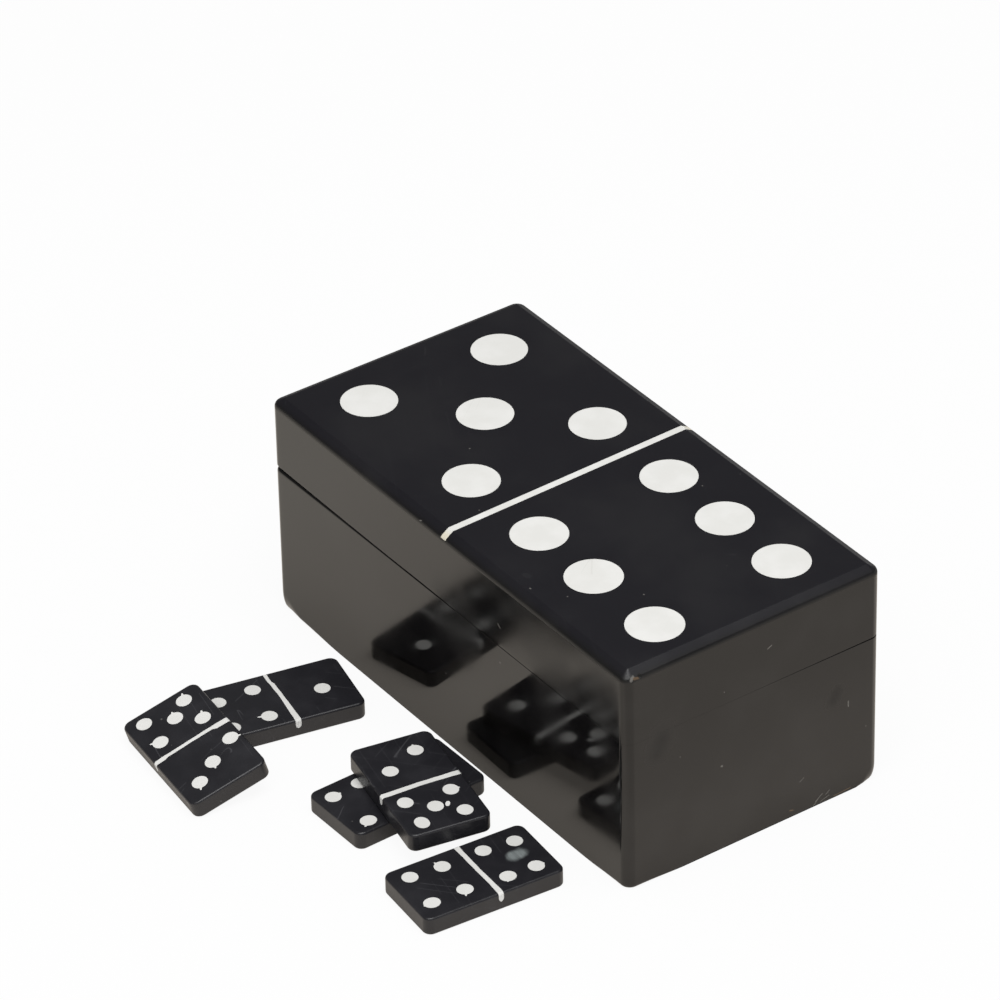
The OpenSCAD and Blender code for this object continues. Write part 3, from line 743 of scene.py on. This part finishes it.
def tile_place(name):
    """Where a tile lies: on the table, on another tile, or leaning on one."""
    at, turn = tile_at(name)
    place = Matrix.Translation((*at, 0)) @ Matrix.Rotation(turn, 4, "Z")
    if name == "five_three":
        lean = tile_lean()
        drop = TILE_EDGE * (math.sin(lean) + math.cos(lean) - 1)
        return (place @ Matrix.Translation((0, 0, -drop)) @ Matrix.Rotation(lean, 4, "X")
                @ Matrix.Translation((0, TILE_W / 2, 0)))
    return place @ Matrix.Translation((0, 0, TILE_T if name == "two_five" else 0))


def tile_blank():
    """A tile before it is drilled, with its arrises rubbed round."""
    bm = rounded_plate(TILE_L, TILE_W, TILE_R, 0)
    raised(bm, bm.faces[:], TILE_T)
    for height in (0, TILE_T):
        eased(bm, level_edges(bm, height), TILE_EDGE)
    return bm


def dots(bm, name, grow, low, high):
    """The holes of a tile, or their fillings: rounds with tails, a little out of true."""
    for n, (x, y, oval, *tails) in enumerate(DOTS[name]):
        ring = bmesh.ops.create_circle(bm, cap_ends=True, segments=DOT_STEPS, radius=1)["verts"]
        for v in ring:
            angle = math.atan2(v.co.y, v.co.x)
            wander = noise.noise(Vector((v.co.x, v.co.y, 3.7 * n + x)))
            radius = DOT_R * (1 + DOT_WANDER * wander + oval * math.cos(2 * angle)) + grow
            for way, reach in tails:
                off = (math.degrees(angle) - way + 180) % 360 - 180
                radius += reach * mm * math.exp(-(off / TAIL_SPREAD) ** 4)
            v.co = (x * mm + radius * math.cos(angle), y * mm + radius * math.sin(angle), low)
        raised(bm, ring[0].link_faces[:], high - low)
    if name == "two_five":
        ring = bmesh.ops.create_circle(bm, cap_ends=True, segments=24, radius=1 * mm + grow)["verts"]
        bmesh.ops.scale(bm, vec=(*SPILT_R, 1), verts=ring)
        bmesh.ops.rotate(bm, matrix=Matrix.Rotation(SPILT_TURN, 3, "Z"), verts=ring)
        bmesh.ops.translate(bm, vec=(SPILT_AT[0] * mm, SPILT_AT[1] * mm, low), verts=ring)
        raised(bm, ring[0].link_faces[:], high - low)


def bar_at(name, y):
    """Middle and width of a bar at one place across its tile."""
    rows = BARS[name]
    for (y0, mid0, wide0), (y1, mid1, wide1) in zip(rows, rows[1:]):
        if y >= y1 * mm:
            share = min(1.0, max(0.0, (y0 * mm - y) / ((y0 - y1) * mm)))
            return mid0 + (mid1 - mid0) * share, wide0 + (wide1 - wide0) * share
    return rows[-1][1:]


def bar_course():
    """Inner and outer points of a bar, up one long edge, over the top and down the other."""
    inner, outer, low = TILE_W / 2 - LINE_T, TILE_W / 2 + LINE_PAST, TILE_T - LINE_FOLD
    under, over = TILE_T - LINE_T, TILE_T + LINE_PAST
    up = [(inner, low + (under - low) * t / FOLD_STEPS, outer, low + (over - low) * t / FOLD_STEPS,
           t / FOLD_STEPS) for t in range(FOLD_STEPS + 1)]
    top = [(inner * t, under, outer * t, over, 1)
           for t in (1 - (step + 0.5) * 2 / LINE_STEPS for step in range(LINE_STEPS))]
    return up + top + [(-y, z, -out_y, out_z, t) for y, z, out_y, out_z, t in up[::-1]]


def bar_strip(name, shrink):
    """The bar of a tile as a bent strip that narrows where it runs out on both long edges."""
    course = bar_course()
    bm = bmesh.new()
    bmesh.ops.create_grid(bm, x_segments=1, y_segments=len(course) - 1, size=1)
    raised(bm, bm.faces[:], 1)
    for v in bm.verts:
        n = round((v.co.y + 1) / 2 * (len(course) - 1))
        y, z, out_y, out_z, t = course[n]
        middle, wide = bar_at(name, y * TILE_W / 2 / (TILE_W / 2 - LINE_T))
        wide *= math.sqrt(max(0.05, 1 - (1 - min(1, LINE_RUN_OUT * t)) ** 2))
        wide *= 1 + WIDTH_WAVER * noise.noise((n * 0.9, 0, 5))
        middle += LINE_WAVER * noise.noise((n * 0.5, 7, 0))
        x = middle * mm + math.copysign(wide / 2 * mm - shrink, v.co.x)
        v.co = (x, out_y, out_z) if v.co.z > 0.5 else (x, y, z)
    return bm


clouded_resin = tile_material("clouded_tile_resin", clouded=True)
for name in LOOSE:
    holes = bmesh.new()
    dots(holes, name, SEAT, TILE_T - DOT_T, TILE_T + DRILL_PAST)
    tile = milled(tile_blank(), [cutter(holes, "holes"), cutter(bar_strip(name, 0), "groove")])
    bmesh.ops.transform(tile, matrix=tile_place(name), verts=tile.verts)
    finished(f"tile_{name}_body", tile, clouded_resin if name == "four_four" else tile_resin,
             f"loose_{name}", [f"tile_{name}"])

    filling = milled(tile_blank(), [cutter(bar_strip(name, SEAT), "strip")], "INTERSECT")
    dots(filling, name, 0, TILE_T - DOT_T + SEAT, TILE_T + DOT_PROUD)
    bmesh.ops.transform(filling, matrix=tile_place(name), verts=filling.verts)
    finished(f"tile_{name}_fillings", filling, white_resin, f"loose_{name}", [f"inlay_{name}"])


# ---- Table, light and camera
# A plain pale table, a round sheet three metres in radius, under soft studio light from two broad
# lamps, overhead and in front. The camera looks down at the front corner.

TABLE_R = 3.0


def ways_seen(tree):
    """Light Path's outputs, and a mask of what is seen straight or through glass."""
    ray = node(tree, "ShaderNodeLightPath").outputs
    return ray, maths(tree, "MAXIMUM", ray["Is Camera Ray"], ray["Is Transmission Ray"])


table_bm = bmesh.new()
bmesh.ops.create_circle(table_bm, cap_ends=True, segments=ROUND_STEPS, radius=TABLE_R)
table_mesh = bpy.data.meshes.new("table")
table_bm.to_mesh(table_mesh)
table_bm.free()
table = bpy.data.objects.new("table", table_mesh)
bpy.context.scene.collection.objects.link(table)

# Seen straight the table is white. To glossy rays it shows a painted reflection for the polished sides to
# mirror:
# a warm tone that varies along the box, and painted shade, darker, behind it
table_top = bpy.data.materials.new("pale_table")
table_top.use_nodes = True
tree = table_top.node_tree
tree.nodes.remove(tree.nodes["Principled BSDF"])
ray, straight = ways_seen(tree)
spot_on_table = tree.nodes.new("ShaderNodeTexCoord").outputs["Object"]
east, north = node(tree, "ShaderNodeSeparateXYZ", {0: spot_on_table}).outputs[:2]
# Painted reflection: the table's tone as the polished sides mirror it, warm and varying along the box
painted_mirror_tone = blended(tree, spread(tree, east, -0.14, -0.06), (0.94, 0.873, 0.78), (0.84, 0.77, 0.685))
near_end = blended(tree, spread(tree, east, 0.09, 0.14), (0.93, 0.846, 0.76), (0.79, 0.722, 0.648))
painted_mirror_tone = blended(tree, spread(tree, east, 0.075, 0.085), painted_mirror_tone, near_end)
# Painted shade on the table behind the box, seen only in reflections
shade_behind_box = maths(tree, "SUBTRACT", north, maths(tree, "MULTIPLY", east, 0.6))
painted_mirror_tone = blended(tree, spread(tree, shade_behind_box, 0.10, 0.14), painted_mirror_tone, (0.30, 0.29, 0.28))
tint = blended(tree, straight, painted_mirror_tone, (1.0, 1.0, 1.0))
glow = node(tree, "ShaderNodeEmission", {"Color": tint, "Strength": 1.0}).outputs[0]
# To glossy rays the lit table also takes the painted reflection tone
pale = blended(tree, ray["Is Glossy Ray"], (0.86, 0.86, 0.86), painted_mirror_tone)
lit = node(tree, "ShaderNodeBsdfDiffuse", {"Color": pale}).outputs[0]
glowing = maths(tree, "MAXIMUM", maths(tree, "MULTIPLY", straight, 0.93),
                maths(tree, "MULTIPLY", ray["Is Glossy Ray"], 0.4))
mixed = node(tree, "ShaderNodeMixShader", {0: glowing, 1: lit, 2: glow}).outputs[0]
tree.links.new(mixed, tree.nodes["Material Output"].inputs["Surface"])
table_mesh.materials.append(table_top)

# The room is white where it is seen straight, and dim in what is polished, but for its low walls
studio = bpy.data.worlds.new("studio")
bpy.context.scene.world = studio
studio.use_nodes = True
tree = studio.node_tree
ray, straight = ways_seen(tree)
way = tree.nodes.new("ShaderNodeTexCoord").outputs["Generated"]
east, north, up = node(tree, "ShaderNodeSeparateXYZ", {0: way}).outputs
low_wall = spread(tree, maths(tree, "ADD", east, north), -0.7, 0.3, 0.2, 0.95)
room = spread(tree, up, 0.02, 0.30, low_wall, 0.128)
tone = maths(tree, "MAXIMUM", maths(tree, "MAXIMUM", room, straight),
             maths(tree, "MULTIPLY", ray["Is Diffuse Ray"], 0.45))
grey = node(tree, "ShaderNodeCombineColor", {0: tone, 1: tone, 2: tone}).outputs[0]
tree.links.new(grey, tree.nodes["Background"].inputs["Color"])
tree.nodes["Background"].inputs["Strength"].default_value = 1.0

LAMPS_AIM = Vector((0, -0.03, 0))


def lamp(name, spot, size, watts):
    """A round lamp that points at the box."""
    light = bpy.data.lights.new(name, "AREA")
    light.shape, light.size, light.energy = "DISK", size, watts
    holder = bpy.data.objects.new(name, light)
    bpy.context.scene.collection.objects.link(holder)
    holder.location = spot
    holder.rotation_mode = "QUATERNION"
    holder.rotation_quaternion = (LAMPS_AIM - Vector(spot)).to_track_quat("-Z", "Y")


lamp("overhead", (0.31, -0.08, 1.30), 0.9, 9.8)
lamp("front_fill", (0.5, -0.9, 1.3), 0.8, 4)

CAMERA_AT = (1.1802, -0.8416, 1.0561)
AZIMUTH, ELEVATION, ROLL = math.radians(55.2365), math.radians(34.4488), math.radians(-1.298)
FOCAL_LENGTH, SENSOR_W = 241.098, 36

camera = bpy.data.objects.new("camera", bpy.data.cameras.new("camera"))
bpy.context.scene.collection.objects.link(camera)
camera.data.lens, camera.data.sensor_width = FOCAL_LENGTH, SENSOR_W
camera.matrix_world = (Matrix.Translation(CAMERA_AT) @ Matrix.Rotation(AZIMUTH, 4, "Z")
                       @ Matrix.Rotation(math.pi / 2 - ELEVATION, 4, "X") @ Matrix.Rotation(ROLL, 4, "Z"))
bpy.context.scene.camera = camera
bpy.context.scene.view_settings.view_transform = "Standard"
